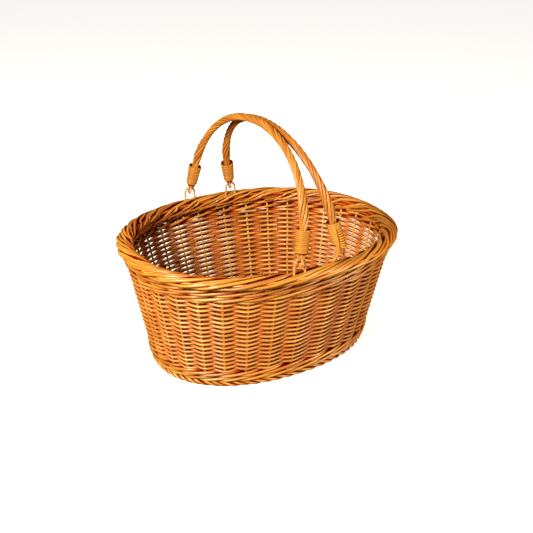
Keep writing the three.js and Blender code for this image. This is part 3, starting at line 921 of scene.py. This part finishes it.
def ray_crossings(axes):
    """The turns at which the rays cross an oval, in order."""
    turns = []
    for ray in rays:
        fine = np.column_stack([np.interp(np.linspace(0, ARM_POINTS - 1, 400),
                                          np.arange(ARM_POINTS), ray[:, k]) for k in (0, 1)])
        level = (np.abs(fine) / axes) ** OVAL_POWER
        hit = fine[np.argmin(np.abs(level.sum(axis=1) - 1))]
        side = np.sign(hit) * (np.abs(hit) / axes) ** (OVAL_POWER / 2)
        turns.append(math.atan2(side[1], side[0]) % TURN)
    return np.sort(turns)


base_rng = np.random.default_rng(53)
base_rods = []
for ring in range(BASE_RINGS):
    axes = BASE_INNER + (BASE_OUTER - BASE_INNER) * ring / (BASE_RINGS - 1)
    turns = ray_crossings(axes)
    marks = np.concatenate([turns - TURN, turns, turns + TURN])
    count = len(rays) * POINTS_PER_RAY
    beat = np.arange(count) * len(rays) / count
    turn = np.interp(beat, np.arange(-len(rays), 2 * len(rays)), marks)
    x, y = oval_point(axes, turn)
    side = 1 if ring % 2 == 0 else -1
    z = BASE_MIDDLE + side * BASE_SWING * weave_wave(beat) + wander(base_rng, count, 0.1, 5)
    base_rods.append(rod(np.column_stack([x, y, z]), BASE_ROD * base_rng.uniform(0.95, 1.05)))
piece = bent_rods("base_rods", base_rods, sides=6, closed=True)
dress(piece, "base_weave", "basket", "base_weave")

# %% [markdown]
# ## Where the handles hang
#
# Each handle lies in a plane that leans inwards from the line between its two arches. A collar
# and an eye are modelled along a leg, and one matrix takes them to their place.

# %% Hinge lines
HINGE_X, HINGE_Z = 34.4, 197.55
LEG_TILT = math.radians(9.5)
ARCH_RADIUS = 8.0
ROPE_REACH, ROPE_GAP = 5.9, 0.3
HANDLES = {
    "left": {"side": -1, "rise": 152.0, "half_span": 163.0},
    "right": {"side": 1, "rise": 149.3, "half_span": 153.5},
}
FEET = [("%s_%s" % (name, end_name), name, handle, end)
        for name, handle in HANDLES.items() for end_name, end in (("front", -1), ("back", 1))]


def handle_matrix(handle):
    """From the handle's own plane, y across and z up from its hinge line, to the basket."""
    lean = math.asin((HINGE_X - ROPE_REACH - ROPE_GAP) / handle["rise"])
    place = Matrix.Translation(Vector((handle["side"] * HINGE_X, 0, HINGE_Z)) / METRE)
    return place @ Matrix.Rotation(-handle["side"] * lean, 4, "Y")


def leg_matrix(handle, end):
    """From a leg's own axes, z up along the leg from the arch's crown, to the basket."""
    along = Vector((0, -end * math.sin(LEG_TILT), math.cos(LEG_TILT)))
    sideways = Vector((1, 0, 0))
    across = along.cross(sideways)
    turn = Matrix((sideways, across, along)).transposed().to_4x4()
    foot = Vector((0, end * handle["half_span"], ARCH_RADIUS)) / METRE
    return handle_matrix(handle) @ Matrix.Translation(foot) @ turn


def placed_copy(pattern, node, matrix, finish, body):
    """A dressed copy of a piece with its own mesh, its place in the mesh."""
    mesh = pattern.data.copy()
    mesh.name = "cane_" + node
    mesh.transform(matrix)
    shift = TONES.uniform(-0.25, 0.25)
    for tone in mesh.attributes["rod_tone"].data:
        tone.value += shift
    dress(new_object("cane_" + node, mesh), finish, body, node)


print("feet:", ", ".join(foot[0] for foot in FEET))

# %% [markdown]
# ## Arches and eyes
#
# Each handle foot has two hoops of thin pale cane. The arch stands in the rim with both legs
# pushed down between its rods. The eye hangs round the arch's crown and its legs are bound
# into the handle, so the handle swings like a bail. Each is one bent cane: a round rod along
# two straight legs and a half circle. One of each is modelled, and the others are copies.

# %% One arch and one eye
EYE_BEND, EYE_LOW = 3.3, -6.2
ARCH_ROD, EYE_ROD = 1.6, 1.3
half_turn = np.linspace(0, math.pi, 17)
flat = np.zeros(len(half_turn))


def hairpin(leg, bend, mirror):
    """Up one leg, round the bend and down the other leg."""
    return np.concatenate([leg, bend, np.array(leg)[::-1] * mirror])


arch_path = hairpin(
    [[8.6, 0, -20.5], [8.3, 0, -12], [8.1, 0, -5]],
    np.column_stack([ARCH_RADIUS * np.cos(half_turn), flat, ARCH_RADIUS * np.sin(half_turn)]),
    (-1, 1, 1))
eye_path = hairpin(
    [[0, 3.3, 24.0], [0, 3.3, 12], [0, 3.4, 4], [0, 3.4, -2]],
    np.column_stack([flat, EYE_BEND * np.cos(half_turn), EYE_LOW - EYE_BEND * np.sin(half_turn)]),
    (1, -1, 1))
arch = bent_rods("arch", [rod(arch_path, ARCH_ROD, tone=0.5)], sides=10, twist="MINIMUM")
eye = bent_rods("eye", [rod(eye_path, EYE_ROD, tone=0.6)], sides=10, twist="MINIMUM")
for place, name, handle, end in FEET:
    upright = Matrix.Translation(
        Vector((handle["side"] * HINGE_X, end * handle["half_span"], HINGE_Z)) / METRE)
    placed_copy(arch, place + "_arch", upright, "cane", "basket")
    placed_copy(eye, place + "_eye", leg_matrix(handle, end), "cane", name + "_handle")
bpy.data.objects.remove(arch)
bpy.data.objects.remove(eye)

# %% [markdown]
# ## Handles
#
# A handle is seven rods twisted into a rope over a straight core. Its middle line climbs
# from the arch, bends over and comes down at the other arch, all in one plane. Each rod
# winds round that line like a right-handed thread. Above the collars the rods are hardly
# twisted yet and stand apart in a slight bulge, so twist and thickness change along the way.

# %% Handle ropes
ROPE_RODS, ROPE_ROD, ROPE_CORE = 7, 2.0, 2.6
ROPE_LAY, ROPE_STEP = 88.0, 2.5
# Where along a leg its rope begins and where it leaves the straight, from the arch's crown.
LEG_START, LEG_END = 2.1, 40.9
# Along the rope from either end: its radius, and its share of the full twist.
ROPE_PLACES = [0, 30, 38, 52, 64, 96, 150, 260]
ROPE_RADII = [5.7, 5.5, 5.2, 6.7, 6.5, 5.35, 5.4, 5.8]
TWIST_PLACES, TWIST_SHARES = [0, 45, 90], [0.5, 0.7, 1.0]
# How far the shoulders and the crown draw the bend on along their own directions.
SHOULDER_PULL, CROWN_PULL = 0.38, 0.66


def rope_line(handle):
    """The rope's middle line in the handle's plane, as (y, z), in even steps."""
    def leg(along):
        return np.array([handle["half_span"] - math.sin(LEG_TILT) * along,
                         ARCH_RADIUS + math.cos(LEG_TILT) * along])
    shoulder = leg(LEG_END)
    rise = np.array([-math.sin(LEG_TILT), math.cos(LEG_TILT)]) * SHOULDER_PULL
    rise = rise * (handle["rise"] - shoulder[1])
    crown = np.array([0, handle["rise"]])
    pull = np.array([CROWN_PULL * shoulder[0], 0])
    share = np.linspace(0, 1, 90)[:, None]
    bend = ((1 - share) ** 3 * shoulder + 3 * share * (1 - share) ** 2 * (shoulder + rise)
            + 3 * share ** 2 * (1 - share) * (crown + pull) + share ** 3 * crown)
    half = np.concatenate([[leg(LEG_START)], bend])
    full = np.concatenate([half, half[-2::-1] * (-1, 1)])
    length = length_along(full)
    even = np.linspace(0, length[-1], round(length[-1] / ROPE_STEP))
    return even, np.column_stack([np.interp(even, length, full[:, k]) for k in (0, 1)])


def handle_rope(name, handle, seed):
    """The rods of one handle, twisted round its middle line."""
    rng = np.random.default_rng(seed)
    along, line = rope_line(handle)
    tangent = np.gradient(line, axis=0)
    tangent /= np.linalg.norm(tangent, axis=1)[:, None]
    normal = np.column_stack([tangent[:, 1], -tangent[:, 0]])
    from_end = np.minimum(along, along[-1] - along)
    outer = np.interp(from_end, ROPE_PLACES, ROPE_RADII)
    twist_rate = np.interp(from_end, TWIST_PLACES, TWIST_SHARES)
    twist = np.concatenate([[0], np.cumsum(twist_rate[1:] * np.diff(along))])
    twist = twist * TURN / ROPE_LAY
    centre = np.column_stack([np.zeros(len(along)), line])
    rods = []
    for number in range(ROPE_RODS):
        thick = ROPE_ROD * rng.uniform(0.94, 1.05) * (1 + wander(rng, len(along), 0.03, 3))
        turn = twist + TURN * number / ROPE_RODS + wander(rng, len(along), 0.06, 4)
        reach = outer - thick + wander(rng, len(along), 0.12, 5)
        out = reach * np.sin(turn)
        path = np.column_stack([reach * np.cos(turn), line[:, 0] + out * normal[:, 0],
                                line[:, 1] + out * normal[:, 1]])
        rods.append(band_rod(path, thick, centre, extra_shade=0.1))
    # The core inside the rope is painted darkest, as shade.
    rods.append(rod(centre[::2], ROPE_CORE, tone=0.1, extra_shade=1.0))
    piece = bent_rods(name + "_rope_rods", rods, twist="MINIMUM")
    piece.data.transform(handle_matrix(handle))
    dress(piece, "rope", name + "_handle", name + "_handle_rope")


handle_rope("left", HANDLES["left"], 61)
handle_rope("right", HANDLES["right"], 67)

# %% [markdown]
# ## Collars
#
# A long strip of split cane binds each end of a handle, turn on turn, from the narrow bottom
# to the wider top, and finishes in a rolled lip. A screw-shaped rod stands for it, whose
# turns sink into each other so that only low ridges show. Under them lie the cut ends of the
# rope's rods, a ring of straight pegs.

# %% What a collar is made of
COLLAR_TURNS, COLLAR_BOTTOM, COLLAR_TOP = 11, 6.6, 37.0
STRIP_RADIUS, POINTS_PER_TURN = 1.5, 28
LIP_REACH, LIP_RADIUS, LIP_TURNS = 8.9, 1.55, 1.1
PEGS, PEG_RADIUS, PEG_REACH = 20, 1.1, (6.0, 7.0)
# How far the loose winding slid down, and how far its turns spread down and out at one side.
SLIPPED, SPREAD_DOWN, SPREAD_OUT = 3.0, 8.5, 4.0
LOOSE_END = [[-4.6, -7.0, 31], [-5.4, -8.6, 24], [-6.0, -9.4, 15], [-6.2, -9.4, 6],
             [-7.2, -9.0, -2], [-9.6, -7.6, -8], [-12.4, -5.8, -12], [-16.0, -3.6, -14.5]]


def collar_radius(height):
    """How wide the winding is at a height on the leg."""
    share = np.clip((height - COLLAR_BOTTOM) / (COLLAR_TOP - COLLAR_BOTTOM), 0, 1)
    return 7.0 + 1.9 * share ** 1.2


def collar_rods(seed, loose):
    """The strip's turns, the lip and the pegs, in a leg's own axes."""
    rng = np.random.default_rng(seed)
    count = COLLAR_TURNS * POINTS_PER_TURN
    turn = np.linspace(0, TURN * COLLAR_TURNS, count)
    height = np.linspace(COLLAR_BOTTOM + 1.2, COLLAR_TOP - 1.2, count)
    height = height + 0.35 * np.sin(turn + 0.7) + wander(rng, count, 0.15, 11)
    fan = loose * np.clip((30 - height) / 22, 0, 1)
    slip = np.maximum(np.cos(turn + 1.1), 0) ** 2
    height = height - fan * SPREAD_DOWN * slip - loose * SLIPPED
    reach = collar_radius(height) + wander(rng, count, 0.15, 13)
    reach = reach + fan * SPREAD_OUT * slip
    path = np.column_stack([reach * np.cos(turn), reach * np.sin(turn), height])
    # A loose strip is painted paler than a tight one: painted light, as that collar lies in
    # shade.
    strip = rod(path, STRIP_RADIUS * (1 + wander(rng, count, 0.05, 9)), tone=0.55 + loose,
                inward=-path * (1, 1, 0) / reach[:, None])
    lip_turn = np.linspace(0, TURN * LIP_TURNS, 34)
    lip = np.column_stack([LIP_REACH * np.cos(lip_turn), LIP_REACH * np.sin(lip_turn),
                           COLLAR_TOP + 0.2 - loose * SLIPPED + 0.5 * np.sin(lip_turn + 0.5)])
    made = [strip, rod(lip, LIP_RADIUS, tone=0.6, inward=-lip * (1, 1, 0) / LIP_REACH)]
    # The pegs under the winding are painted darker, as shade.
    for number in range(PEGS):
        side = TURN * number / PEGS + rng.uniform(-0.03, 0.03)
        low = COLLAR_BOTTOM - rng.uniform(0, 1.5)
        high = COLLAR_TOP - rng.uniform(-0.3, 0.5) - loose * SLIPPED
        peg = [[reach * math.cos(side), reach * math.sin(side), z]
               for reach, z in zip(PEG_REACH, (low, high))]
        made.append(rod(peg, PEG_RADIUS, tone=0.1, extra_shade=0.6))
    if loose:
        made.append(rod(LOOSE_END, np.linspace(2.4, 1.8, len(LOOSE_END)), tone=1.0, extra_shade=0.0))
    return made


print("a collar: %d turns of strip over %d pegs" % (COLLAR_TURNS, PEGS))

# %% [markdown]
# Three collars are copies of a tight one. The fourth, at the front of the right handle, came
# loose: it slid down, its turns spread, and a rod of the rope sticks out beside it, bent. It
# spreads towards the front, so that the handle can still lie down over its arch.

# %% The four collars
tight = bent_rods("tight_collar", collar_rods(71, 0.0), twist="MINIMUM")
loose = bent_rods("loose_collar", collar_rods(73, 1.0), twist="MINIMUM")
for place, name, handle, end in FEET:
    pattern = loose if place == "right_front" else tight
    placed_copy(pattern, place + "_collar", leg_matrix(handle, end), "collar", name + "_handle")
bpy.data.objects.remove(tight)
bpy.data.objects.remove(loose)
